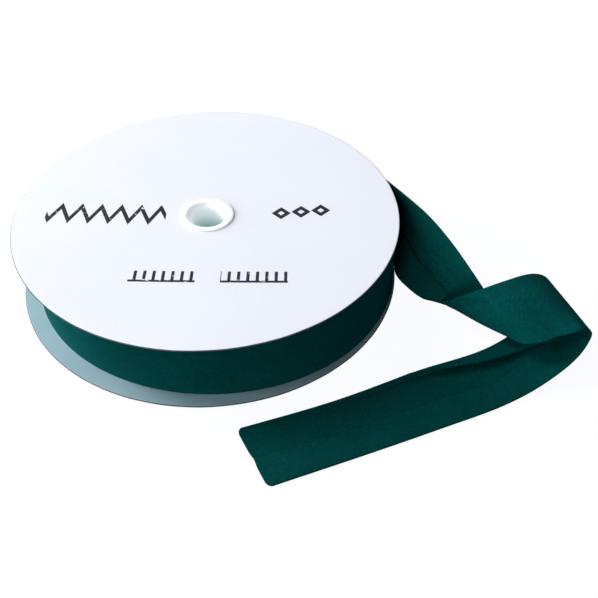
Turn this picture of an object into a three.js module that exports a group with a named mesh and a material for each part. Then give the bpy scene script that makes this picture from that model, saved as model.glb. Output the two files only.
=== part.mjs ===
// A reel of double-fold bias tape lying on its side, with its loose end on the table.
// Units are millimetres, +Z is up, and the reel's axis is vertical.
import * as THREE from 'three';

// Tape
const TAPE_WIDTH = 18;
const TAIL_THICKNESS = 1;
const CUT_CORNER_RADIUS = 1.6;

// Cards: two discs, one under and one over the wound tape
const CARD_RADIUS = 53;
const CARD_THICKNESS = 0.4;
const CARD_SEAT_RADIUS = 9;
const LOWER_CARD_FLAT_RADIUS = 20;
const UPPER_CARD_FLARE = 0.75;
const FLARE_HALFWAY = 0.35;

// Hub: a plastic tube with a turned-out rim at each end
const HUB_BORE_RADIUS = 5;
const HUB_TUBE_RADIUS = 6;
const HUB_RIM_RADIUS = 6.9;
const LOWER_RIM_THICKNESS = 0.3;
const UPPER_RIM_THICKNESS = 0.5;

// Wound tape: its outer turns have crept to one side of the reel
const ROLL_RADIUS = 50.7;
const ROLL_CENTRE = new THREE.Vector2(1.5, 0.9);

// Fits
const TUBE_FIT = 0.3;
const TAPE_FIT = 0.2;

// Heights, from the table up
const LOWER_CARD_SEAT = LOWER_RIM_THICKNESS;
const ROLL_BOTTOM = LOWER_CARD_SEAT + CARD_THICKNESS + TAPE_FIT;
const ROLL_TOP = ROLL_BOTTOM + TAPE_WIDTH;
const UPPER_CARD_SEAT = ROLL_TOP + TAPE_FIT;
const REEL_TOP = UPPER_CARD_SEAT + CARD_THICKNESS + UPPER_RIM_THICKNESS;

const ROUND_SEGMENTS = 96;
const HUB_SEGMENTS = 48;
const STEPS_PER_FOLD = 4;
const CORNER_STEPS = 4;
const ACROSS = [0, 0.1, 0.2, 0.3, 0.42, 0.58, 0.78, 1];

const CARD_WHITE = new THREE.MeshStandardMaterial({ color: 0xf2f4fa, roughness: 0.55, metalness: 0 });
const HUB_WHITE = new THREE.MeshStandardMaterial({ color: 0xfafbfc, roughness: 0.3, metalness: 0 });
const TAPE_GREEN = new THREE.MeshStandardMaterial({ color: 0x024a45, roughness: 0.75, metalness: 0 });

// The loose end, from the roll to the cut. Each row crosses the tape from edge to edge.
// The first edge stands on the table where the tape leaves the roll, and the second is its
// top edge there. Where the tape lies flat its first edge is turned up: ridge gives the height,
// and the shares of the width where the raised part ends and where the slope down from it ends.
const FLAT = [0, 0.42, 0.62];
const TAIL_FOLDS = [
  { at: 'leaves the roll', first: [49.1, 20.7, 1.0], second: [49.1, 20.7, 18.9], ridge: FLAT },
  { at: 'clear of the roll', first: [51.3, 16.7, 1.0], second: [51.7, 16.4, 18.9], ridge: FLAT },
  { at: 'top leans out', first: [52.9, 10.6, 1.0], second: [55.6, 10.5, 18.8], ridge: FLAT },
  { at: 'swings forward', first: [53.3, 3.2, 1.0], second: [61.5, 3.0, 17.5], ridge: FLAT },
  { at: 'leans further', first: [53.4, -4.2, 1.3], second: [67.0, -5.0, 15.0], ridge: FLAT },
  { at: 'foot turns out', first: [55.9, -9.6, 1.5], second: [72.3, -14.0, 11.6], ridge: FLAT },
  { at: 'before the fold', first: [59.8, -13.6, 1.0], second: [77.8, -23.3, 7.0], ridge: FLAT },
  { at: 'first fold', first: [64.0, -14.8, 0.9], second: [80.0, -32.4, 6.0], ridge: FLAT },
  { at: 'past the fold', first: [65.7, -19.4, 5.0], second: [83.1, -37.3, 6.3], ridge: FLAT },
  { at: 'starts to rise', first: [72.1, -21.9, 11.0], second: [88.0, -36.9, 6.5], ridge: FLAT },
  { at: 'far edge highest', first: [79.8, -20.8, 14.0], second: [92.1, -35.5, 7.5], ridge: FLAT },
  { at: 'crest', first: [86.0, -19.8, 15.5], second: [95.0, -36.8, 10.8], ridge: FLAT },
  { at: 'over the crest', first: [89.5, -19.7, 15.0], second: [96.8, -37.8, 12.9], ridge: FLAT },
  { at: 'outermost', first: [92.0, -20.2, 12.3], second: [98.6, -38.6, 12.2], ridge: FLAT },
  { at: 'turns under', first: [92.8, -21.6, 8.4], second: [97.3, -40.3, 9.1], ridge: FLAT },
  { at: 'comes down', first: [92.0, -23.8, 5.0], second: [94.2, -42.6, 6.2], ridge: [0.6, 0.42, 0.62] },
  { at: 'slopes down', first: [84.0, -28.3, 1.6], second: [86.2, -46.9, 2.2], ridge: [1.8, 0.42, 0.62] },
  { at: 'lands', first: [73.4, -35.4, 0.7], second: [76.6, -51.9, 0.7], ridge: [2.6, 0.33, 0.58] },
  { at: 'lies flat', first: [56.2, -42.4, 0.6], second: [60.0, -59.3, 0.6], ridge: [2.2, 0.02, 0.3] },
  { at: 'lies flat', first: [36.9, -50.8, 0.6], second: [42.4, -66.8, 0.6], ridge: [1.9, 0, 0.3] },
  { at: 'cut end', first: [10.9, -60.0, 0.6], second: [18.8, -76.5, 0.6], ridge: [0.7, 0, 0.3] },
];

function lathePiece(name, profile, segments, material) {
  const points = profile.map(([radius, height]) => new THREE.Vector2(radius, height));
  points.push(points[0].clone());
  const geometry = new THREE.LatheGeometry(points, segments);
  geometry.rotateX(Math.PI / 2);
  const mesh = new THREE.Mesh(geometry, material);
  mesh.name = name;
  return mesh;
}

// A disc pierced for the hub. Rows of the profile run outward under it and back over it.
function cardProfile(seat, bend, rim) {
  const hole = HUB_TUBE_RADIUS + TUBE_FIT;
  return [
    [hole, seat],
    [CARD_SEAT_RADIUS, seat],
    bend,
    [CARD_RADIUS, rim],
    [CARD_RADIUS, rim + CARD_THICKNESS],
    [bend[0], bend[1] + CARD_THICKNESS],
    [CARD_SEAT_RADIUS, seat + CARD_THICKNESS],
    [hole, seat + CARD_THICKNESS],
  ];
}

// The lower card lies flat on the table and rises over the hub's lower rim.
function lowerCard() {
  const profile = cardProfile(LOWER_CARD_SEAT, [LOWER_CARD_FLAT_RADIUS, 0], 0);
  return lathePiece('flange_bottom', profile, ROUND_SEGMENTS, CARD_WHITE);
}

// The upper card flares upward to its edge.
function upperCard() {
  const rim = UPPER_CARD_SEAT + UPPER_CARD_FLARE;
  const midRadius = (CARD_SEAT_RADIUS + CARD_RADIUS) / 2;
  const bend = [midRadius, UPPER_CARD_SEAT + UPPER_CARD_FLARE * FLARE_HALFWAY];
  return lathePiece('flange_top', cardProfile(UPPER_CARD_SEAT, bend, rim), ROUND_SEGMENTS, CARD_WHITE);
}

function hub() {
  const upperRim = REEL_TOP - UPPER_RIM_THICKNESS;
  const lip = UPPER_RIM_THICKNESS / 2;
  const profile = [
    [HUB_BORE_RADIUS + lip, 0],
    [HUB_RIM_RADIUS, 0],
    [HUB_RIM_RADIUS, LOWER_RIM_THICKNESS],
    [HUB_TUBE_RADIUS, LOWER_RIM_THICKNESS],
    [HUB_TUBE_RADIUS, upperRim],
    [HUB_RIM_RADIUS, upperRim],
    [HUB_RIM_RADIUS, REEL_TOP - lip],
    [HUB_RIM_RADIUS - lip, REEL_TOP],
    [HUB_BORE_RADIUS + lip, REEL_TOP],
    [HUB_BORE_RADIUS, REEL_TOP - lip],
    [HUB_BORE_RADIUS, lip],
  ];
  return lathePiece('hub', profile, HUB_SEGMENTS, HUB_WHITE);
}

// The wound tape as one ring: its bore is round the hub, and its outside round its own centre.
function roll() {
  const outline = new THREE.Shape();
  outline.absarc(ROLL_CENTRE.x, ROLL_CENTRE.y, ROLL_RADIUS, 0, Math.PI * 2, false);
  const bore = new THREE.Path();
  bore.absarc(0, 0, HUB_TUBE_RADIUS + TUBE_FIT, 0, Math.PI * 2, true);
  outline.holes.push(bore);
  const options = { depth: TAPE_WIDTH, bevelEnabled: false, curveSegments: HUB_SEGMENTS };
  const mesh = new THREE.Mesh(new THREE.ExtrudeGeometry(outline, options), TAPE_GREEN);
  mesh.position.z = ROLL_BOTTOM;
  mesh.name = 'tape_roll';
  return mesh;
}

function edgeCurve(key) {
  const points = TAIL_FOLDS.map((fold) => new THREE.Vector3(...fold[key]));
  return new THREE.CatmullRomCurve3(points, false, 'centripetal');
}

// How far the tape is raised at a place along it and across it.
function raisedBy(along, across) {
  const place = along * (TAIL_FOLDS.length - 1);
  const index = Math.min(Math.floor(place), TAIL_FOLDS.length - 2);
  const before = TAIL_FOLDS[index].ridge;
  const after = TAIL_FOLDS[index + 1].ridge;
  const [height, crest, foot] = before.map((v, k) => THREE.MathUtils.lerp(v, after[k], place - index));
  const slope = THREE.MathUtils.clamp((foot - across) / (foot - crest), 0, 1);
  return height * slope * slope;
}

// Places along the tail, from 0 to 1, with the part to cut off each side of the tape there.
function tailStations(length) {
  const stations = [];
  const cornerStart = 1 - CUT_CORNER_RADIUS / length;
  const steps = (TAIL_FOLDS.length - 1) * STEPS_PER_FOLD;
  for (let step = 0; step <= steps; step += 1) {
    const along = step / steps;
    if (along < cornerStart) stations.push({ along, inset: 0 });
  }
  for (let step = 0; step <= CORNER_STEPS; step += 1) {
    const angle = (step / CORNER_STEPS) * (Math.PI / 2);
    const left = CUT_CORNER_RADIUS * (1 - Math.sin(angle));
    stations.push({ along: 1 - left / length, inset: CUT_CORNER_RADIUS * (1 - Math.cos(angle)) });
  }
  return stations;
}

// The tail's middle surface as a grid of points: one row for each station.
function tailSurface() {
  const first = edgeCurve('first');
  const second = edgeCurve('second');
  const lastSpan = second.points.at(-1).distanceTo(second.points.at(-2));
  const lengthInLastSpans = lastSpan * (TAIL_FOLDS.length - 1);
  return tailStations(lengthInLastSpans).map(({ along, inset }) => {
    const a = first.getPoint(along);
    const b = second.getPoint(along);
    const side = inset / TAPE_WIDTH;
    return ACROSS.map((share) => {
      const across = THREE.MathUtils.lerp(side, 1 - side, share);
      const point = a.clone().lerp(b, across);
      point.z += raisedBy(along, across);
      return point;
    });
  });
}

function surfaceNormal(grid, row, column) {
  const before = grid[Math.max(row - 1, 0)][column];
  const after = grid[Math.min(row + 1, grid.length - 1)][column];
  const left = grid[row][Math.max(column - 1, 0)];
  const right = grid[row][Math.min(column + 1, ACROSS.length - 1)];
  const along = after.clone().sub(before);
  const across = right.clone().sub(left);
  return along.cross(across).normalize();
}

// Both faces of the sheet, then the strip of faces that closes its four sides.
function sheetFaces(rows, columns) {
  const faces = [];
  const back = rows * columns;
  const quad = (a, b, c, d) => faces.push(a, b, c, a, c, d);
  for (let row = 0; row < rows - 1; row += 1) {
    for (let column = 0; column < columns - 1; column += 1) {
      const corner = row * columns + column;
      quad(corner, corner + columns, corner + columns + 1, corner + 1);
      quad(back + corner, back + corner + 1, back + corner + columns + 1, back + corner + columns);
    }
  }
  const border = [];
  for (let row = 0; row < rows; row += 1) border.push(row * columns);
  for (let column = 1; column < columns; column += 1) border.push((rows - 1) * columns + column);
  for (let row = rows - 2; row >= 0; row -= 1) border.push(row * columns + columns - 1);
  for (let column = columns - 2; column >= 1; column -= 1) border.push(column);
  border.forEach((corner, place) => {
    const next = border[(place + 1) % border.length];
    quad(next, corner, back + corner, back + next);
  });
  return faces;
}

function tail() {
  const grid = tailSurface();
  const front = [];
  const behind = [];
  grid.forEach((line, row) => line.forEach((point, column) => {
    const half = surfaceNormal(grid, row, column).multiplyScalar(TAIL_THICKNESS / 2);
    front.push(...point.clone().add(half).toArray());
    behind.push(...point.clone().sub(half).toArray());
  }));
  const geometry = new THREE.BufferGeometry();
  geometry.setAttribute('position', new THREE.Float32BufferAttribute([...front, ...behind], 3));
  geometry.setIndex(sheetFaces(grid.length, ACROSS.length));
  geometry.computeVertexNormals();
  const mesh = new THREE.Mesh(geometry, TAPE_GREEN);
  mesh.name = 'tape_tail';
  return mesh;
}

const reel = new THREE.Group();
reel.add(lowerCard(), upperCard(), hub(), roll(), tail());

// The origin is under the middle of the whole object, on the table.
reel.updateMatrixWorld(true);
const box = new THREE.Box3().setFromObject(reel, true);
const middle = box.getCenter(new THREE.Vector3());
reel.position.set(-middle.x, -middle.y, -box.min.z);

const part = new THREE.Group();
part.add(reel);

export default part;
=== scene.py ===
import math
from collections import namedtuple

import bpy
import numpy as np
from mathutils import Matrix, Vector, noise


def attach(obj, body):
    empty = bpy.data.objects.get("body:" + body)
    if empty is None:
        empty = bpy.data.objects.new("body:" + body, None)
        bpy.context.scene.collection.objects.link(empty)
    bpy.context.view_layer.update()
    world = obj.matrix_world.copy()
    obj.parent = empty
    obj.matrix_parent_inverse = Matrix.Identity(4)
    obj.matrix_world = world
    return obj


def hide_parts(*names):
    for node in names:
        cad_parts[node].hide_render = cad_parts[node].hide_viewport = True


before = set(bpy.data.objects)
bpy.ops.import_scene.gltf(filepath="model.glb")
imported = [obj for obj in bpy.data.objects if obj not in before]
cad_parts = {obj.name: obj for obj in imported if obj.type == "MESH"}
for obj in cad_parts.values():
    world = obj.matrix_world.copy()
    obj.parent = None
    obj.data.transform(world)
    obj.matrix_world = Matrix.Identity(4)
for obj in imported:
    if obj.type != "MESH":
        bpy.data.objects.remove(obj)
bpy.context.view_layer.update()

MM = 0.001
# Sizes and places of the pieces are in mm from the reel's axis. Those of the materials, the floor
# and the lights are in metres.
REEL_AXIS = np.array([-23.035, 11.506, 0.0])
CREASE = math.radians(50)    # a sharper edge is shaded as an edge
CLOTH_MAP = "cloth"          # a point's place on the flat cloth

# ------------------------------------------------------------------ helpers


def smooth(value, low, high):
    """0 below low, 1 above high, with an eased ramp between."""
    share = np.clip((np.asarray(value, float) - low) / (high - low), 0.0, 1.0)
    return share * share * (3 - 2 * share)


def round_angles(steps):
    """Angles of equal steps round the axis."""
    return [2 * math.pi * step / steps for step in range(steps)]


def round_point(radius, angle, height):
    """Point at that radius and angle about the axis."""
    return radius * math.cos(angle), radius * math.sin(angle), height


def mesh_object(name, points, faces, materials, kinds=None, uv=None):
    """A smoothly shaded piece. kinds gives each face's material, and uv each point's place on the
    flat cloth."""
    mesh = bpy.data.meshes.new(name)
    mesh.from_pydata([tuple((np.asarray(point) + REEL_AXIS) * MM) for point in points], [], faces)
    for material in materials:
        mesh.materials.append(material)
    if kinds is not None:
        mesh.polygons.foreach_set("material_index", np.asarray(kinds, np.int32))
    mesh.polygons.foreach_set("use_smooth", np.full(len(mesh.polygons), True))
    if uv is not None:
        layer = mesh.uv_layers.new(name=CLOTH_MAP)
        corners = np.empty(len(mesh.loops), np.int32)
        mesh.loops.foreach_get("vertex_index", corners)
        layer.data.foreach_set("uv", np.asarray(uv, np.float32)[corners].ravel())
    mesh.validate()
    mesh.update()
    mesh.set_sharp_from_angle(angle=CREASE)
    piece = bpy.data.objects.new(name, mesh)
    bpy.context.scene.collection.objects.link(piece)
    return piece


def ring_faces(rows, columns, reverse=False):
    """Quads of a grid that closes on itself both ways; the grid's points are stored row by row."""
    faces = []
    for row in range(rows):
        here = row * columns
        after = (row + 1) % rows * columns
        for column in range(columns):
            beside = (column + 1) % columns
            quad = (here + column, here + beside, after + beside, after + column)
            faces.append(quad[:1] + quad[:0:-1] if reverse else quad)
    return faces


class Nodes:
    """A small front end to one material's node tree."""

    def __init__(self, name):
        self.material = bpy.data.materials.new(name)
        self.material.use_nodes = True
        self.tree = self.material.node_tree
        self.tree.nodes.clear()
        output = self.tree.nodes.new("ShaderNodeOutputMaterial")
        self.surface = self.tree.nodes.new("ShaderNodeBsdfPrincipled")
        self.link(self.surface.outputs[0], output.inputs[0])

    def node(self, kind, **settings):
        made = self.tree.nodes.new(kind)
        for key, value in settings.items():
            setattr(made, key, value)
        return made

    def link(self, source, target):
        self.tree.links.new(source, target)

    def feed(self, socket, value):
        if isinstance(value, bpy.types.NodeSocket):
            self.link(value, socket)
        else:
            socket.default_value = value

    def feed_all(self, node, values):
        for socket, value in zip(node.inputs, values):
            self.feed(socket, value)
        return node.outputs[0]

    def math(self, operation, *values, clamp=False):
        return self.feed_all(self.node("ShaderNodeMath", operation=operation, use_clamp=clamp), values)

    def add(self, a, b):
        return self.math("ADD", a, b)

    def subtract(self, a, b):
        return self.math("SUBTRACT", a, b)

    def multiply(self, a, b):
        return self.math("MULTIPLY", a, b)

    def distance(self, a, b):
        return self.math("ABSOLUTE", self.subtract(a, b))

    def split(self, vector):
        parts = self.node("ShaderNodeSeparateXYZ")
        self.link(vector, parts.inputs[0])
        return parts.outputs

    def place(self):
        """Where a point of the piece is, in metres."""
        return self.node("ShaderNodeTexCoord").outputs["Object"]

    def mix(self, share, a, b):
        mixed = self.node("ShaderNodeMix", data_type="RGBA")
        self.feed(mixed.inputs[0], share)
        self.feed(mixed.inputs[6], a)
        self.feed(mixed.inputs[7], b)
        return mixed.outputs[2]

    def noise(self, vector, scale, detail, roughness=0.5):
        cloud = self.node("ShaderNodeTexNoise")
        self.feed(cloud.inputs["Vector"], vector)
        cloud.inputs["Scale"].default_value = scale
        cloud.inputs["Detail"].default_value = detail
        cloud.inputs["Roughness"].default_value = roughness
        return cloud.outputs["Fac"]

    def ramp(self, value, low, high, to_low=0.0, to_high=1.0):
        span = self.node("ShaderNodeMapRange", interpolation_type="SMOOTHSTEP")
        return self.feed_all(span, (value, low, high, to_low, to_high))

    def bump(self, height, distance, strength, normal=None):
        relief = self.node("ShaderNodeBump")
        relief.inputs["Strength"].default_value = strength
        relief.inputs["Distance"].default_value = distance
        self.link(height, relief.inputs["Height"])
        if normal is not None:
            self.link(normal, relief.inputs["Normal"])
        return relief.outputs[0]

    def set(self, **values):
        """Feed the surface's own sockets: Base_Color is its Base Color, and so on."""
        for key, value in values.items():
            self.feed(self.surface.inputs[key.replace("_", " ")], value)


# ------------------------------------------------------------------ tape cloth

TAPE_DARK = (0.0004, 0.029, 0.029, 1)
TAPE_LIGHT = (0.0010, 0.061, 0.058, 1)
TAPE_SHEEN = (0.0, 0.55, 0.70, 1)
TAPE_GLINT = (0.0, 0.7, 0.8, 1)
BIAS = math.radians(45)
THREAD_PITCH = 0.00031
THREAD_WOBBLE = 0.0009
THREAD_DIP = 0.45            # how high a thread stays where it passes under another
SLUBS_ALONG = 420            # slubs a metre along a thread and across it
SLUBS_ACROSS = 3000
WEAVE_RELIEF = 0.00005
SLUB_RELIEF = 0.00008
# How much the slubs, the weave and larger patches lighten the cloth, and the span of their sum.
SLUB_TONE = 1.5
WEAVE_TONE = 0.22
PATCH_TONE = 0.3
TONE_LOW = 0.78
TONE_HIGH = 1.42


def plain_weave(nodes, warp, weft):
    """Height of the crossing threads, counted in threads both ways: over one and under one."""
    over = nodes.math("PINGPONG", nodes.add(nodes.math("FLOOR", warp), nodes.math("FLOOR", weft)), 1.0)
    under = nodes.subtract(1.0, over)
    tops = []
    for thread, lifted in ((warp, over), (weft, under)):
        rounded = nodes.math("ABSOLUTE", nodes.math("SINE", nodes.multiply(thread, math.pi)))
        lift = nodes.math("MULTIPLY_ADD", lifted, 1 - THREAD_DIP, THREAD_DIP)
        tops.append(nodes.multiply(rounded, lift))
    return nodes.math("MAXIMUM", *tops)


def streaks(nodes, along, across):
    """Slubs: thick and thin places, drawn out along the threads."""
    stretched = nodes.node("ShaderNodeCombineXYZ")
    nodes.feed(stretched.inputs[0], nodes.multiply(along, SLUBS_ALONG))
    nodes.feed(stretched.inputs[1], nodes.multiply(across, SLUBS_ACROSS))
    return nodes.noise(stretched.outputs[0], scale=1.0, detail=3, roughness=0.65)


def tape_material():
    """Plain-woven polyester cut on the bias: the threads cross the tape at 45 degrees."""
    nodes = Nodes("tape_bias_weave")
    cloth = nodes.node("ShaderNodeUVMap", uv_map=CLOTH_MAP).outputs[0]
    turned = nodes.node("ShaderNodeVectorRotate", rotation_type="Z_AXIS")
    nodes.link(cloth, turned.inputs["Vector"])
    turned.inputs["Angle"].default_value = BIAS
    x, y, _ = nodes.split(turned.outputs[0])
    wobble = nodes.noise(cloth, scale=220, detail=2)
    shift = nodes.multiply(nodes.subtract(wobble, 0.5), THREAD_WOBBLE)
    warp = nodes.math("DIVIDE", nodes.add(x, shift), THREAD_PITCH)
    weft = nodes.math("DIVIDE", nodes.subtract(y, shift), THREAD_PITCH)
    weave = plain_weave(nodes, warp, weft)
    slub = nodes.multiply(nodes.add(streaks(nodes, x, y), streaks(nodes, y, x)), 0.5)
    patch = nodes.noise(cloth, scale=60, detail=3)
    tone = nodes.add(nodes.multiply(slub, SLUB_TONE), nodes.multiply(weave, WEAVE_TONE))
    tone = nodes.add(tone, nodes.multiply(patch, PATCH_TONE))
    tone = nodes.ramp(tone, low=TONE_LOW, high=TONE_HIGH)
    nodes.set(Base_Color=nodes.mix(tone, TAPE_DARK, TAPE_LIGHT))
    nodes.set(Roughness=0.7, Specular_IOR_Level=0.04, Specular_Tint=TAPE_GLINT)
    nodes.set(Sheen_Weight=0.10, Sheen_Roughness=0.4, Sheen_Tint=TAPE_SHEEN)
    threads = nodes.bump(weave, distance=WEAVE_RELIEF, strength=0.6)
    nodes.set(Normal=nodes.bump(slub, distance=SLUB_RELIEF, strength=0.6, normal=threads))
    return nodes.material


# ------------------------------------------------------------------ card board and hub plastic

BOARD_RELIEF = 0.00004
HUB_RELIEF = 0.00002
INK = (0.012, 0.016, 0.024, 1)
# The printed motifs, in mm. PHASE keeps the count of a repeat above 0 over the whole card.
PHASE = 60
STITCH_MIDDLE = -28
STITCH_HALF_RUN = 16.5
STITCH_HEIGHT = -3.9
STITCH_STEP = 2.75
STITCH_SLOPE = 2.3
STITCH_HALF_LINE = 1.45
DIAMONDS = ((20.3, 0.4), (25.8, 1.0), (31.3, 1.6))      # middles
DIAMOND_HOLE = 1.0
DIAMOND_REACH = 2.7
SCALE_RUNS = ((-9.5, 8.5), (14.0, 8.6))        # middle and half length
SCALE_PITCH = 2.4
SCALE_TICK = 0.34
TICK_HEIGHTS = (-28.6, -24.4)
RULE_HEIGHTS = (-28.7, -27.9)
PRINTED_ABOVE = 10           # only the upper card lies above this height


def board(name, base, deep, fibre, roughness, grain_scale):
    """Paper board: mottled tone, fibres and a faint tooth. Returns the nodes and the colour."""
    nodes = Nodes(name)
    at = nodes.place()
    cloud = nodes.noise(at, scale=60, detail=4)
    grain = nodes.noise(at, scale=grain_scale, detail=3, roughness=0.7)
    tone = nodes.add(nodes.multiply(cloud, 0.5), nodes.multiply(grain, 0.5))
    plain = nodes.mix(nodes.ramp(tone, low=0.35, high=0.65), deep, base)
    fine = nodes.noise(at, scale=grain_scale * 1.7, detail=2, roughness=0.8)
    colour = nodes.mix(nodes.ramp(fine, low=0.68, high=0.74), plain, fibre)
    nodes.set(Base_Color=colour, Roughness=roughness, Specular_IOR_Level=0.3)
    nodes.set(Normal=nodes.bump(grain, distance=BOARD_RELIEF, strength=0.35))
    return nodes, colour


def printed_marks(nodes, at):
    """Plain sewing motifs in worn ink where the card is printed: 1 where there is ink.
    A zigzag stitch on the left, three diamonds on the right, and a scale below."""
    across, ahead, up = nodes.split(at)
    x = nodes.math("MULTIPLY_ADD", across, 1000, -REEL_AXIS[0])
    y = nodes.math("MULTIPLY_ADD", ahead, 1000, -REEL_AXIS[1])

    def within(value, limits):
        low, high = limits
        return nodes.multiply(nodes.math("GREATER_THAN", value, low), nodes.math("LESS_THAN", value, high))

    def run(middle, half):
        return nodes.math("LESS_THAN", nodes.subtract(nodes.distance(x, middle), half), 0)

    swing = nodes.math("PINGPONG", nodes.add(x, PHASE), STITCH_STEP)
    stitch = nodes.distance(nodes.add(y, -STITCH_HEIGHT), nodes.multiply(swing, STITCH_SLOPE))
    line = nodes.math("LESS_THAN", stitch, STITCH_HALF_LINE)
    ink = nodes.multiply(line, run(STITCH_MIDDLE, STITCH_HALF_RUN))
    for middle_x, middle_y in DIAMONDS:
        reach = nodes.add(nodes.distance(x, middle_x), nodes.distance(y, middle_y))
        ink = nodes.add(ink, within(reach, (DIAMOND_HOLE, DIAMOND_REACH)))
    count = nodes.math("DIVIDE", nodes.add(x, PHASE), SCALE_PITCH)
    tick = nodes.math("LESS_THAN", nodes.math("FRACT", count), SCALE_TICK)
    scale = nodes.add(nodes.multiply(tick, within(y, TICK_HEIGHTS)), within(y, RULE_HEIGHTS))
    ink = nodes.add(ink, nodes.multiply(scale, nodes.add(*[run(*part) for part in SCALE_RUNS])))
    worn = nodes.ramp(nodes.noise(at, scale=700, detail=3, roughness=0.7), low=0.30, high=0.37)
    upper_card = nodes.math("GREATER_THAN", up, PRINTED_ABOVE * MM)
    return nodes.math("MULTIPLY", nodes.multiply(ink, worn), upper_card, clamp=True)


def white_card():
    nodes, colour = board("card_coated_white", base=(0.735, 0.765, 0.835, 1),
                          deep=(0.715, 0.745, 0.815, 1), fibre=(0.70, 0.73, 0.80, 1),
                          roughness=0.5, grain_scale=1500)
    nodes.set(Base_Color=nodes.mix(printed_marks(nodes, nodes.place()), colour, INK))
    return nodes.material


def grey_card():
    nodes, _ = board("card_board_grey", base=(0.25, 0.385, 0.44, 1), deep=(0.22, 0.345, 0.395, 1),
                     fibre=(0.15, 0.21, 0.24, 1), roughness=0.85, grain_scale=2600)
    return nodes.material


def card_edge():
    nodes, _ = board("card_cut_edge", base=(0.10, 0.115, 0.15, 1), deep=(0.05, 0.055, 0.085, 1),
                     fibre=(0.02, 0.02, 0.035, 1), roughness=0.9, grain_scale=900)
    return nodes.material


def hub_material():
    """Thin moulded white plastic with a faint flow pattern; a little light passes through its wall.
    Painted shade and glow: its colour is darker and teal lower down, and it gives off a faint light of that
    colour."""
    nodes = Nodes("hub_moulded_white")
    at = nodes.place()
    flow = nodes.noise(at, scale=140, detail=3)
    white = nodes.mix(flow, (0.84, 0.88, 0.90, 1), (0.90, 0.92, 0.93, 1))
    _, _, up = nodes.split(at)
    # Painted shade: the colour turns darker and teal toward the bottom, below 18.6 mm.
    height = nodes.ramp(up, low=9 * MM, high=18.6 * MM)
    painted_shade_and_glow = nodes.mix(height, (0.24, 0.42, 0.40, 1), white)
    # Painted glow: the plastic gives off a faint light of the same painted colour.
    nodes.set(Base_Color=painted_shade_and_glow, Emission_Color=painted_shade_and_glow, Emission_Strength=0.22)
    nodes.set(Roughness=nodes.ramp(flow, low=0.3, high=0.7, to_low=0.26, to_high=0.38))
    nodes.set(Specular_IOR_Level=0.5)
    nodes.set(Normal=nodes.bump(nodes.noise(at, scale=900, detail=2), distance=HUB_RELIEF, strength=0.3))
    nodes.set(Subsurface_Weight=0.15, Subsurface_Radius=(0.0015, 0.0015, 0.0015), Subsurface_Scale=0.5)
    return nodes.material


CLOTH = tape_material()
CARD_MATERIALS = [white_card(), grey_card(), card_edge()]
WHITE_FACE, GREY_FACE, CUT_FACE = range(3)
PLASTIC = hub_material()

# ------------------------------------------------------------------ cards

CARD_RADIUS = 53.0
CARD_HOLE = 6.3
CARD_THICKNESS = 0.4
CARD_FLAT = 9.0              # both cards are flat from the hole to this radius
CARD_STEPS = 240
UPPER_SEAT = 19.1
LOWER_SEAT = 0.3
UPPER_FLARE = 0.75
UPPER_FLARE_POWER = 1.5
LOWER_SAG = 0.29
LOWER_SAG_END = 24.0
# Waves grow outward from a radius. Each has a height, a number round the card and a phase.
UPPER_WAVE_START = 12
UPPER_WAVES = ((0.08, 2, 0.6), (0.04, 5, 2.0))
LOWER_WAVE_START = 24
LOWER_WAVE = (0.04, 3, 1.0)
LOWER_OUTREACH = 0.2         # how far the lower card's rim stands past the radius
RIM_BAND = 3
RIM_RINGS = (1.6, 0.9, 0.45, 0.18)      # the rings nearest the rim, in from it
RIM_ROUNDING = 0.06
RIM_SHOULDER = 0.72          # where the rim's rounding starts and ends, in half thicknesses
RIM_FLAT = 0.3
RAGGED = 0.05
RAGGED_COUNT = 9


def card_rings():
    """Radii of the rings of one face, closer together toward the rim."""
    inner = np.linspace(CARD_HOLE, CARD_FLAT, 4)
    middle = np.linspace(CARD_FLAT, CARD_RADIUS - RIM_RINGS[0], 26)[1:]
    return np.concatenate([inner, middle, [CARD_RADIUS - inset for inset in RIM_RINGS[1:]]])


def card(name, seat, bend, wave, faces, wider):
    """A pierced disc. bend(radius) is its rise from the seat, wave(radius, angle) what handling did
    to it, faces its lower and upper face, and wider how far its rim stands past the radius."""
    rings = card_rings()
    half = CARD_THICKNESS / 2
    rim = [(CARD_RADIUS - RIM_ROUNDING, -half * RIM_SHOULDER), (CARD_RADIUS, -half * RIM_FLAT),
           (CARD_RADIUS, half * RIM_FLAT), (CARD_RADIUS - RIM_ROUNDING, half * RIM_SHOULDER)]
    outline = [(radius, -half) for radius in rings] + rim + [(radius, half) for radius in rings[::-1]]
    bands = len(rings) - 1
    lower_face, upper_face = faces
    kinds = [lower_face] * bands + [CUT_FACE] * (len(rim) + 1) + [upper_face] * bands + [CUT_FACE]
    points = []
    for angle in round_angles(CARD_STEPS):
        ragged = RAGGED * noise.noise(Vector(round_point(RAGGED_COUNT, angle, seat)))
        for radius, side in outline:
            reach = radius + (wider + ragged) * float(smooth(radius, CARD_RADIUS - RIM_BAND, CARD_RADIUS))
            height = seat + half + bend(radius) + wave(radius, angle) + side
            points.append(round_point(reach, angle, height))
    quads = ring_faces(CARD_STEPS, len(outline), reverse=True)
    return mesh_object(name, points, quads, CARD_MATERIALS, kinds * CARD_STEPS)


def upper_bend(radius):
    share = max(0.0, (radius - CARD_FLAT) / (CARD_RADIUS - CARD_FLAT))
    return UPPER_FLARE * share**UPPER_FLARE_POWER


def upper_wave(radius, angle):
    out = max(0.0, (radius - UPPER_WAVE_START) / (CARD_RADIUS - UPPER_WAVE_START)) ** 2
    return out * sum(height * math.sin(count * angle + phase) for height, count, phase in UPPER_WAVES)


def lower_bend(radius):
    return -LOWER_SAG * float(smooth(radius, CARD_FLAT, LOWER_SAG_END))


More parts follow.
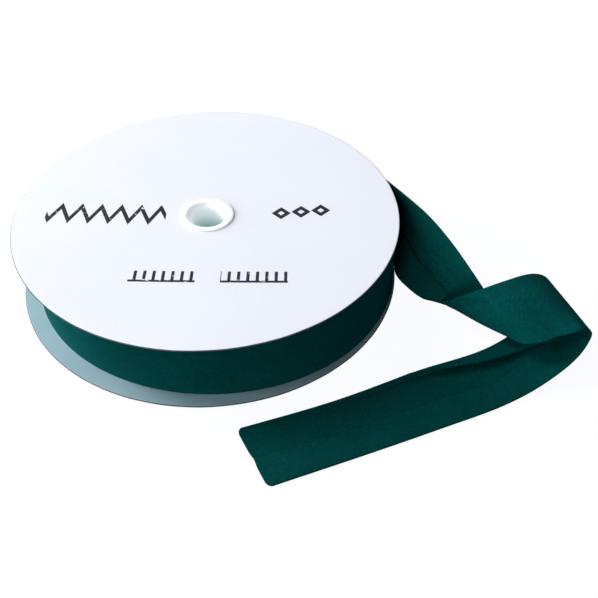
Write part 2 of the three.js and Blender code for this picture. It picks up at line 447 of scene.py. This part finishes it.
def lower_wave(radius, angle):
    out = max(0.0, (radius - LOWER_WAVE_START) / (CARD_RADIUS - LOWER_WAVE_START)) ** 2
    height, count, phase = LOWER_WAVE
    return out * height * (1 + math.sin(count * angle + phase))


upper = card("card_upper", UPPER_SEAT, upper_bend, upper_wave, (GREY_FACE, WHITE_FACE), 0.0)
lower = card("card_lower", LOWER_SEAT, lower_bend, lower_wave, (WHITE_FACE, GREY_FACE), LOWER_OUTREACH)

# ------------------------------------------------------------------ hub

HUB_BORE = 4.75
HUB_TUBE = 5.5
HUB_STEPS = 96
HUB_PLAY = (0.0, -0.7)       # the hub sits a little loose in the cards' holes
FUNNEL_FOOT = 17.3
FUNNEL_WIDTH = 1.55
FUNNEL_HEIGHT = 2.75
FUNNEL_TURN = 80
FUNNEL_STEPS = 12


def lathe(name, profile, material, steps):
    """A closed profile of (radius, height) turned about the axis."""
    points = [round_point(radius, angle, height)
              for angle in round_angles(steps) for radius, height in profile]
    return mesh_object(name, points, ring_faces(steps, len(profile), reverse=True), [material])


def arc(centre, radius, start, stop, steps):
    """Points of a circle's arc between two angles in degrees."""
    angles = np.radians(np.linspace(start, stop, steps))
    return [(centre[0] + radius * math.cos(angle), centre[1] + radius * math.sin(angle))
            for angle in angles]


def funnel():
    """The mouth of the bore, widening upward along an ellipse."""
    angles = np.radians(np.linspace(0, FUNNEL_TURN, FUNNEL_STEPS))
    return [(HUB_BORE + FUNNEL_WIDTH * (1 - math.cos(angle)), FUNNEL_FOOT + FUNNEL_HEIGHT * math.sin(angle))
            for angle in angles]


def hub_profile():
    """(radius, height) round the lower rim, up the bore, over the funnel and the rolled lip, and
    down the outside."""
    return (
        [(HUB_TUBE, 0.28), (6.85, 0.24)]
        + arc((6.75, 0.12), 0.12, 60, -60, 4)
        + [(5.4, 0.0), (5.0, 0.3), (HUB_BORE, 1.1), (HUB_BORE, 9.0)]
        + funnel()
        + [(6.35, 20.06), (6.7, 20.0)]
        + arc((7.04, 19.72), 0.2, 70, -40, 6)
        + [(6.9, 19.55), (6.0, 19.52), (HUB_TUBE, 19.3), (HUB_TUBE, 10.0)]
    )


hub = lathe("hub_tube", hub_profile()[::-1], PLASTIC, HUB_STEPS)
hub.location = (HUB_PLAY[0] * MM, HUB_PLAY[1] * MM, 0)

# ------------------------------------------------------------------ wound tape

TURN = 0.41                  # thickness of one turn
TURNS_SHOWN = 9
TURN_GROOVE = 0.10
ROLL_HIGH = 18.96
ROLL_CORE = 6.3
ROLL_DEPTH = 44.0            # from the outer turn to the core
ROLL_LIFT = 0.09             # clears the lower card's wave
ROLL_STEPS = 360
SIDE_STEPS = 33
SIDE_INSET = 0.16
SIDE_SWELL = 0.02
JOIN_DIP = 0.10              # the groove where the raw edges meet
JOIN_SPREAD = 0.07
EDGE_ROUNDING = 0.12
LUMPS = 0.09
LUMP_COUNT = 4
LUMP_STRETCH = 0.10
MAP_RADIUS = 51              # where the cloth's map has its true length
LEAVES = math.radians(33.8)  # where the loose end leaves the roll
STEP_ANGLE = math.radians(1.2)
# The wound tape has crept to the right: outer radius from the reel's axis, by angle in degrees.
ROLL_OUTLINE = [
    (0, 52.75), (12, 52.5), (24, 52.1), (34, 51.75), (44, 51.5), (60, 51.3), (90, 51.2),
    (120, 51.0), (150, 50.3), (180, 49.3), (200, 48.8), (215, 48.55), (235, 48.4), (252, 48.55),
    (262, 48.95), (272, 49.4), (285, 50.0), (300, 50.95), (322, 52.1), (336, 52.5),
    (350, 52.75), (360, 52.75),
]


def outline_at(degrees):
    return float(np.interp(degrees % 360, *zip(*ROLL_OUTLINE)))


def outline_radius(angle):
    """The outline, rounded over its points."""
    degrees = math.degrees(angle) % 360
    spread = [outline_at(degrees + offset) for offset in (-9, -6, -3, 0, 3, 6, 9)]
    return sum(spread) / len(spread)


def wound_radius(depth, angle):
    """Radius of the turn at that depth; the outer turn thins away round the roll to where it left."""
    back = (angle - LEAVES) % (2 * math.pi)
    full = 2 * math.pi - STEP_ANGLE
    share = back / full if back < full else (2 * math.pi - back) / STEP_ANGLE
    outer = outline_radius(angle) - TURN * (share - 0.5)
    inward = min(depth / ROLL_DEPTH, 1.0)
    return outer + (ROLL_CORE - outer) * inward


def under_roll(radius):
    """Height of the lower card's face, which carries the tape."""
    return LOWER_SEAT + CARD_THICKNESS + lower_bend(radius) + ROLL_LIFT


def roll_profile():
    """Rows of (depth from the outer turn, part, value): over the top, down the side, and back. value
    is the inset from the face, or the share of the way down on the side."""
    face = [((turn + share) * TURN, inset) for turn in range(TURNS_SHOWN)
            for share, inset in ((0.12, TURN_GROOVE), (0.5, 0.0), (0.88, TURN_GROOVE))]
    face += [(depth, TURN_GROOVE) for depth in (8, 14, 22, 30, 38, ROLL_DEPTH)]
    rows = [(depth, "top", inset) for depth, inset in face[::-1]]
    rows += [(0.0, "side", share) for share in np.linspace(0, 1, SIDE_STEPS)]
    rows += [(depth, "bottom", inset) for depth, inset in face]
    return rows


def side_relief(share, angle, height):
    """How far the side stands out: its lumps, less its rounded edges and the groove at the join."""
    dip = JOIN_DIP * math.exp(-((share - 0.5) / JOIN_SPREAD) ** 2)
    crown = EDGE_ROUNDING * (2 * share - 1) ** 4
    lump = noise.noise(Vector(round_point(LUMP_COUNT, angle, height * LUMP_STRETCH)))
    return SIDE_SWELL - dip - crown + LUMPS * lump


def wound_roll():
    rows = roll_profile()
    points, uv = [], []
    for turned in round_angles(ROLL_STEPS):
        angle = LEAVES + turned
        for depth, part, value in rows:
            radius = wound_radius(depth, angle)
            low = under_roll(radius)
            if part == "top":
                height = ROLL_HIGH - value
            elif part == "bottom":
                height = low + value
            else:
                height = ROLL_HIGH - SIDE_INSET - value * (ROLL_HIGH - low - 2 * SIDE_INSET)
                radius += side_relief(value, angle, height)
            points.append(round_point(radius, angle, height))
            across = height if part == "side" else height + depth
            uv.append((MAP_RADIUS * (angle - LEAVES) * MM, across * MM))
    return mesh_object("roll_wound", points, ring_faces(ROLL_STEPS, len(rows)), [CLOTH], None, uv)


roll = wound_roll()

# ------------------------------------------------------------------ course of the loose end

TAPE_WIDTH = 18.0
STATIONS = 430
MEASURING_STEPS = 4001
SHARES = np.linspace(0, 1, 181)[None]    # shares of the width, from the first edge to the second
EASE_REACH = 3.0
BRINK = 0.05                 # width of the ridge's brink, as a share of the tape's
BRINK_HEIGHT = 0.8           # share of the ridge's height that falls at the brink
UNDERCUT = 0.95              # how far the low part runs in, as a share of the ridge's height
EDGE_MARGIN = 0.5            # the low part stays this far in from the first edge

# Each row crosses the tape from its first edge to its second. Rows are counted from 0, and 0 to 3
# lie on the roll.
# ridge is the raised part along the first edge where the tape lies flat: its height, and the
# shares of the width where it ends and where its foot is.
Fold = namedtuple("Fold", "first second ridge")
FLAT = (0.0, 0.42, 0.62)
FOLDS = [
    Fold((32.65, 38.9, 0.9), (32.65, 38.9, 18.9), FLAT),
    Fold((38.2, 34.4, 0.9), (38.2, 34.4, 18.9), FLAT),
    Fold((43.2, 28.9, 0.9), (43.2, 28.9, 18.9), FLAT),
    Fold((46.0, 24.7, 0.9), (46.0, 24.7, 18.9), FLAT),
    Fold((48.8, 20.5, 0.9), (48.8, 20.5, 18.9), FLAT),                   # leaves the roll
    Fold((51.2, 16.6, 1.0), (51.6, 16.35, 18.9), FLAT),
    Fold((52.9, 10.6, 1.0), (55.6, 10.5, 18.8), FLAT),                   # top leans out
    Fold((53.3, 3.2, 1.0), (61.5, 3.0, 17.5), FLAT),
    Fold((53.3, -4.2, 1.3), (67.0, -5.0, 15.0), FLAT),
    Fold((55.9, -9.6, 1.5), (72.3, -14.0, 11.6), FLAT),
    Fold((59.8, -13.6, 1.0), (77.8, -23.3, 7.1), FLAT),
    Fold((64.0, -14.8, 1.2), (80.0, -32.4, 6.7), FLAT),                  # first fold
    Fold((65.5, -20.0, 5.9), (82.5, -38.8, 8.9), FLAT),
    Fold((71.4, -24.4, 13.5), (86.7, -40.2, 10.9), FLAT),
    Fold((78.7, -24.3, 17.2), (90.3, -39.6, 12.3), FLAT),
    Fold((84.9, -22.7, 18.1), (93.5, -40.0, 14.0), FLAT),                # crest
    Fold((88.8, -21.5, 16.6), (95.9, -39.6, 14.7), FLAT),
    Fold((92.0, -20.2, 12.3), (98.6, -38.6, 12.2), FLAT),                # outermost
    Fold((92.8, -21.6, 8.4), (97.3, -40.3, 9.1), FLAT),
    Fold((92.0, -23.8, 5.0), (94.2, -42.6, 6.2), (0.6, 0.42, 0.62)),     # comes down
    Fold((84.0, -28.3, 1.6), (86.2, -46.9, 2.0), (1.9, 0.36, 0.62)),
    Fold((73.4, -35.4, 0.5), (76.6, -51.9, 0.5), (2.6, 0.21, 0.5)),      # lands
    Fold((56.2, -42.4, 0.4), (60.0, -59.3, 0.4), (2.3, 0.0, 0.3)),
    Fold((36.9, -50.8, 0.4), (42.4, -66.8, 0.4), (1.9, -0.02, 0.24)),
    Fold((10.6, -60.0, 0.4), (18.8, -76.5, 0.4), (0.7, -0.05, 0.25)),    # cut end
]
# How far the middle of the band between the two folds is pushed toward its smooth face, by row.
BULGES = [(11, 0.0), (12, 0.5), (13, 0.9), (14, 0.9), (15, 0.5), (16, 0.0)]
# Where the two raw edges lie, from the first edge, by row: apart where the tape bends off the roll,
# then butted.
LOW_EDGES = [(0, 7.7), (8, 7.7), (11, 8.9), (14, 9.37), (24, 9.37)]
HIGH_EDGES = [(0, 11.4), (8, 11.4), (11, 9.9), (14, 9.38), (24, 9.38)]
# How far the raw edges stand off the cloth below, by row.
GAPES = [(0, 0.0), (5, 0.0), (6, 0.12), (9, 0.12), (11, 0.0), (24, 0.0)]


def root_distance(a, b):
    return np.maximum(np.linalg.norm(a - b, axis=1, keepdims=True), 1e-8) ** 0.5


def spline(points, at):
    """Centripetal Catmull-Rom through the points; at counts the points."""
    points = np.asarray(points, float)
    line = np.vstack([2 * points[0] - points[1], points, 2 * points[-1] - points[-2]])
    span = np.clip(np.floor(at).astype(int), 0, len(points) - 2)
    past = (at - span)[:, None]
    before, start, stop, after = (line[span + offset] for offset in range(4))
    lead, gap, trail = root_distance(before, start), root_distance(start, stop), root_distance(stop, after)
    leaving = ((start - before) / lead - (stop - before) / (lead + gap) + (stop - start) / gap) * gap
    arriving = ((stop - start) / gap - (after - start) / (gap + trail) + (after - stop) / trail) * gap
    square = 3 * (stop - start) - 2 * leaving - arriving
    cube = 2 * (start - stop) + leaving + arriving
    return start + leaving * past + square * past**2 + cube * past**3


first_edge = [fold.first for fold in FOLDS]
second_edge = [fold.second for fold in FOLDS]
dense = np.linspace(0, len(FOLDS) - 1, MEASURING_STEPS)
middle_line = (spline(first_edge, dense) + spline(second_edge, dense)) / 2
length_at = np.concatenate([[0], np.cumsum(np.linalg.norm(np.diff(middle_line, axis=0), axis=1))])
TAIL_LENGTH = float(length_at[-1])
STATION_STEP = TAIL_LENGTH / (STATIONS - 1)
STATION_LENGTHS = np.linspace(0, TAIL_LENGTH, STATIONS)
FOLD_LENGTHS = np.interp(np.arange(len(FOLDS)), dense, length_at)
station_rows = np.interp(STATION_LENGTHS, length_at, dense)
FIRST = spline(first_edge, station_rows)
SECOND = spline(second_edge, station_rows)


def eased(rows):
    """Values given by row of the folds, blurred and returned for each station."""
    at, values = zip(*rows)
    raw = np.interp(STATION_LENGTHS, FOLD_LENGTHS[list(at)], values)
    spread = int(3 * EASE_REACH / STATION_STEP)
    weights = np.exp(-0.5 * (np.arange(-spread, spread + 1) * STATION_STEP / EASE_REACH) ** 2)
    padded = np.pad(raw, spread, mode="edge")
    return np.convolve(padded, weights / weights.sum(), mode="valid")


def ridge():
    """Where the tape lies on the table: the rise along its first edge, and how far the low part
    runs in under the brink of that rise."""
    height, crest, foot = (eased([(row, fold.ridge[column]) for row, fold in enumerate(FOLDS)])[:, None]
                           for column in range(3))
    slope = np.clip((foot - SHARES) / (foot - crest), 0, 1)
    brink = np.clip(1 - (SHARES - crest) / BRINK, 0, 1)
    low_part = np.clip((foot - SHARES) / (foot - crest - BRINK), 0, 1)
    room = np.clip(TAPE_WIDTH * (crest + BRINK) - EDGE_MARGIN, 0, None)
    inward = np.minimum(UNDERCUT * height, room)
    rise = height * ((1 - BRINK_HEIGHT) * slope**2 + BRINK_HEIGHT * brink)
    return rise, inward * low_part * (1 - brink)


def normals(surface):
    """Directions square to a surface that is given by rows of points."""
    along = np.gradient(surface, axis=0)
    across = np.gradient(surface, axis=1)
    upright = np.cross(along, across)
    return upright / np.linalg.norm(upright, axis=2, keepdims=True)


def middle_surface():
    """Points midway through the doubled cloth, a row for each station."""
    share = SHARES[..., None]
    points = FIRST[:, None] * (1 - share) + SECOND[:, None] * share
    rise, under = ridge()
    outward = SECOND - FIRST
    outward /= np.linalg.norm(outward, axis=1, keepdims=True)
    points[..., 2] += rise
    points -= outward[:, None] * under[..., None]
    bulge = eased(BULGES)[:, None] * np.sin(math.pi * SHARES) ** 2
    return points - normals(points) * bulge[..., None]


SURFACE = middle_surface()
NORMALS = normals(SURFACE)


def on_surface(length, share, lift):
    """Point at that length along the tape and share of its width, lifted toward the flap side."""
    across = share * (SHARES.size - 1)
    along = length / STATION_STEP
    column = min(int(across), SHARES.size - 2)
    row = min(int(along), STATIONS - 2)
    past_column, past_row = across - column, along - row

    def blend(grid):
        near = grid[row, column] * (1 - past_column) + grid[row, column + 1] * past_column
        far = grid[row + 1, column] * (1 - past_column) + grid[row + 1, column + 1] * past_column
        return near * (1 - past_row) + far * past_row

    upright = blend(NORMALS)
    return blend(SURFACE) + upright * (lift / np.linalg.norm(upright))


# ------------------------------------------------------------------ cloth of the loose end

LAYER = 0.20                 # thickness of one layer
BACK = -0.36                 # the smooth face, from the middle surface
FLAP_TOP = 0.24
FOLD_HALF = (FLAP_TOP - BACK) / 2
FOLD_MIDDLE = (FLAP_TOP + BACK) / 2
RAW_NOSE = 0.02              # how far a raw edge is rounded
CORNER = 1.8
NICK_DEPTH = 0.28
NICK_AT = 9.6
NICK_WIDTH = 1.6
END_REACH = 7                # length over which the cut end's shape fades out
# Points round a fold, across the flap at the first edge, the smooth face and the other flap.
FOLD_STEPS = 9
FIRST_FLAP_STEPS = 33
BACK_STEPS = 40
SECOND_FLAP_STEPS = 14


def section(low, high, gape):
    """Closed outline of the doubled cloth. low and high are where the two raw edges lie, mm from
    the first edge, and gape is how far they stand off the cloth below. Returns rows of
    (across, lift, cloth) with cloth the flat coordinate in mm."""
    far = TAPE_WIDTH - FOLD_HALF
    thin = FOLD_HALF - LAYER
    around = np.radians(np.linspace(0, 180, FOLD_STEPS))[1:-1]
    outer, inner = [], []
    for across in np.linspace(low - RAW_NOSE, FOLD_HALF, FIRST_FLAP_STEPS):
        top = FLAP_TOP + gape * ((across - FOLD_HALF) / (low - FOLD_HALF)) ** 3
        outer.append((across, top, -across))
        inner.append((across, top - LAYER, -across))
    for angle in around:
        for row, radius in ((outer, FOLD_HALF), (inner, thin)):
            row.append((FOLD_HALF - radius * math.sin(angle), FOLD_MIDDLE + radius * math.cos(angle), 0.0))
    for across in np.linspace(FOLD_HALF, far, BACK_STEPS):
        outer.append((across, BACK, across))
        inner.append((across, BACK + LAYER, across))
    for angle in around:
        for row, radius in ((outer, FOLD_HALF), (inner, thin)):
            row.append((far + radius * math.sin(angle), FOLD_MIDDLE - radius * math.cos(angle), TAPE_WIDTH))
    for across in np.linspace(far, high + RAW_NOSE, SECOND_FLAP_STEPS):
        top = FLAP_TOP + gape * ((far - across) / (far - high)) ** 3
        outer.append((across, top, 2 * TAPE_WIDTH - across))
        inner.append((across, top - LAYER, 2 * TAPE_WIDTH - across))
    nose = FLAP_TOP + gape - LAYER / 2
    return [(low, nose, -low)] + outer + [(high, nose, 2 * TAPE_WIDTH - high)] + inner[::-1]


def end_trim(across):
    """How much shorter the tape is at that place: rounded corners and a nick at the join."""
    nick = NICK_DEPTH * math.exp(-(((across - NICK_AT) / NICK_WIDTH) ** 2))
    from_edge = min(across, TAPE_WIDTH - across)
    if from_edge >= CORNER:
        return nick
    return nick + CORNER - math.sqrt(max(0.0, CORNER**2 - (CORNER - from_edge) ** 2))


def tail_faces(columns):
    """Quads round the section from station to station, and a cap between its layers at each end."""
    faces = ring_faces(STATIONS, columns)[:(STATIONS - 1) * columns]
    side = (columns - 2) // 2
    for start, reverse in ((0, False), ((STATIONS - 1) * columns, True)):
        cap = [(0, 1, columns - 1), (side, side + 1, side + 2)]
        cap += [(1 + k, 2 + k, columns - 2 - k, columns - 1 - k) for k in range(side - 1)]
        for corners in cap:
            face = tuple(start + corner for corner in corners)
            faces.append(face[::-1] if reverse else face)
    return faces


def tail_mesh():
    points, uv = [], []
    for length, low, high, gape in zip(STATION_LENGTHS, eased(LOW_EDGES), eased(HIGH_EDGES), eased(GAPES)):
        rows = section(low, high, gape)
        near_end = max(0.0, 1 - (TAIL_LENGTH - length) / END_REACH)
        for across, lift, cloth in rows:
            share = min(max(across / TAPE_WIDTH, 0.0), 1.0)
            at = length - end_trim(across) * near_end
            points.append(on_surface(at, share, lift))
            uv.append((at * MM, cloth * MM))
    return mesh_object("tail_cloth", points, tail_faces(len(points) // STATIONS), [CLOTH], None, uv)


tail = tail_mesh()

# ------------------------------------------------------------------ pieces on the part's body, in place of the imported ones

for piece, node, slot_name in (
    (upper, "flange_top", "card"),
    (lower, "flange_bottom", "card"),
    (hub, "hub", "hub_plastic"),
    (roll, "tape_roll", "tape_cloth"),
    (tail, "tape_tail", "tape_cloth"),
):
    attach(piece, "root")
    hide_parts(node)

# ------------------------------------------------------------------ stage

PALE = (0.98, 0.985, 1.0, 1)
PALE_GLOW = 0.96
FLOOR_HALF = 6.0
FLOOR_HEIGHT = -0.0002


def floor_material():
    nodes = Nodes("stage_floor")
    nodes.set(Base_Color=(0.07, 0.07, 0.07, 1), Roughness=0.9, Specular_IOR_Level=0.1)
    nodes.set(Emission_Color=PALE, Emission_Strength=PALE_GLOW)
    return nodes.material


def stage_floor():
    """A pale floor that glows evenly and throws no light on the part."""
    corners = [(x * FLOOR_HALF, y * FLOOR_HALF, 0) for x, y in ((-1, -1), (1, -1), (1, 1), (-1, 1))]
    mesh = bpy.data.meshes.new("stage_floor")
    mesh.from_pydata(corners, [], [(0, 1, 2, 3)])
    mesh.materials.append(floor_material())
    obj = bpy.data.objects.new("stage_floor", mesh)
    bpy.context.scene.collection.objects.link(obj)
    obj.location.z = FLOOR_HEIGHT
    obj.visible_diffuse = False
    obj.visible_glossy = False


def studio_world():
    """What is seen past the floor is as pale as the floor; the light that it gives stays low."""
    world = bpy.data.worlds.new("studio")
    bpy.context.scene.world = world
    world.use_nodes = True
    tree = world.node_tree
    dim = tree.nodes["Background"]
    dim.inputs["Color"].default_value = (0.93, 0.96, 1.0, 1)
    dim.inputs["Strength"].default_value = 0.04
    pale = tree.nodes.new("ShaderNodeBackground")
    pale.inputs["Color"].default_value = PALE
    pale.inputs["Strength"].default_value = PALE_GLOW
    either = tree.nodes.new("ShaderNodeMixShader")
    tree.links.new(tree.nodes.new("ShaderNodeLightPath").outputs["Is Camera Ray"], either.inputs[0])
    tree.links.new(dim.outputs[0], either.inputs[1])
    tree.links.new(pale.outputs[0], either.inputs[2])
    tree.links.new(either.outputs[0], tree.nodes["World Output"].inputs["Surface"])


stage_floor()
studio_world()

# ------------------------------------------------------------------ lights

LIGHT_SIZE = 0.35
LIGHT_DISTANCE = 0.9
# A tall bank of soft lights at the left, one low in front, and weaker ones round the reel. The
# azimuth is where a light stands, in degrees from +X toward +Y, and the power is in watts.
Light = namedtuple("Light", "name azimuth elevation power")
LIGHTS = [
    Light("left_low", 160, 8, 7.0),
    Light("left_middle", 160, 25, 4.5),
    Light("left_high", 160, 45, 4.5),
    Light("side_low", 190, 8, 2.0),
    Light("side_middle", 190, 25, 2.0),
    Light("front_low", 250, 8, 4.5),
    Light("front_high", 220, 45, 1.0),
    Light("back_high", 130, 45, 1.0),
    Light("behind", 50, 25, 1.0),
]


def soft_light(light):
    """A round soft light that faces the part's origin."""
    data = bpy.data.lights.new(light.name, "AREA")
    data.shape = "ELLIPSE"
    data.size = LIGHT_SIZE
    data.size_y = LIGHT_SIZE
    data.energy = light.power
    lamp = bpy.data.objects.new(light.name, data)
    azimuth, elevation = math.radians(light.azimuth), math.radians(light.elevation)
    way = Vector((math.cos(azimuth) * math.cos(elevation), math.sin(azimuth) * math.cos(elevation),
                  math.sin(elevation)))
    lamp.location = way * LIGHT_DISTANCE
    lamp.rotation_mode = "QUATERNION"
    lamp.rotation_quaternion = way.to_track_quat("Z", "Y")
    bpy.context.scene.collection.objects.link(lamp)


for light in LIGHTS:
    soft_light(light)

# ------------------------------------------------------------------ camera

CAMERA_AT = Vector((2.405, -175.394, 162.35)) * MM      # from the part's origin
CAMERA_DOWN = math.radians(43.11)
CAMERA_ROLL = math.radians(0.48)
LENS = 50.80
SENSOR_WIDTH = 36.0
CLIP_START = 0.01


def camera():
    data = bpy.data.cameras.new("camera")
    data.sensor_width = SENSOR_WIDTH
    data.lens = LENS
    data.clip_start = CLIP_START
    eye = bpy.data.objects.new("camera", data)
    ahead = Vector((0, math.cos(CAMERA_DOWN), -math.sin(CAMERA_DOWN)))
    level = Vector((1, 0, 0))
    upright = Vector((0, math.sin(CAMERA_DOWN), math.cos(CAMERA_DOWN)))
    right = level * math.cos(CAMERA_ROLL) + upright * math.sin(CAMERA_ROLL)
    up = upright * math.cos(CAMERA_ROLL) - level * math.sin(CAMERA_ROLL)
    turned = Matrix((right, up, -ahead)).transposed()
    eye.matrix_world = Matrix.Translation(CAMERA_AT) @ turned.to_4x4()
    bpy.context.scene.collection.objects.link(eye)
    bpy.context.scene.camera = eye


camera()
bpy.context.scene.view_settings.view_transform = "Standard"
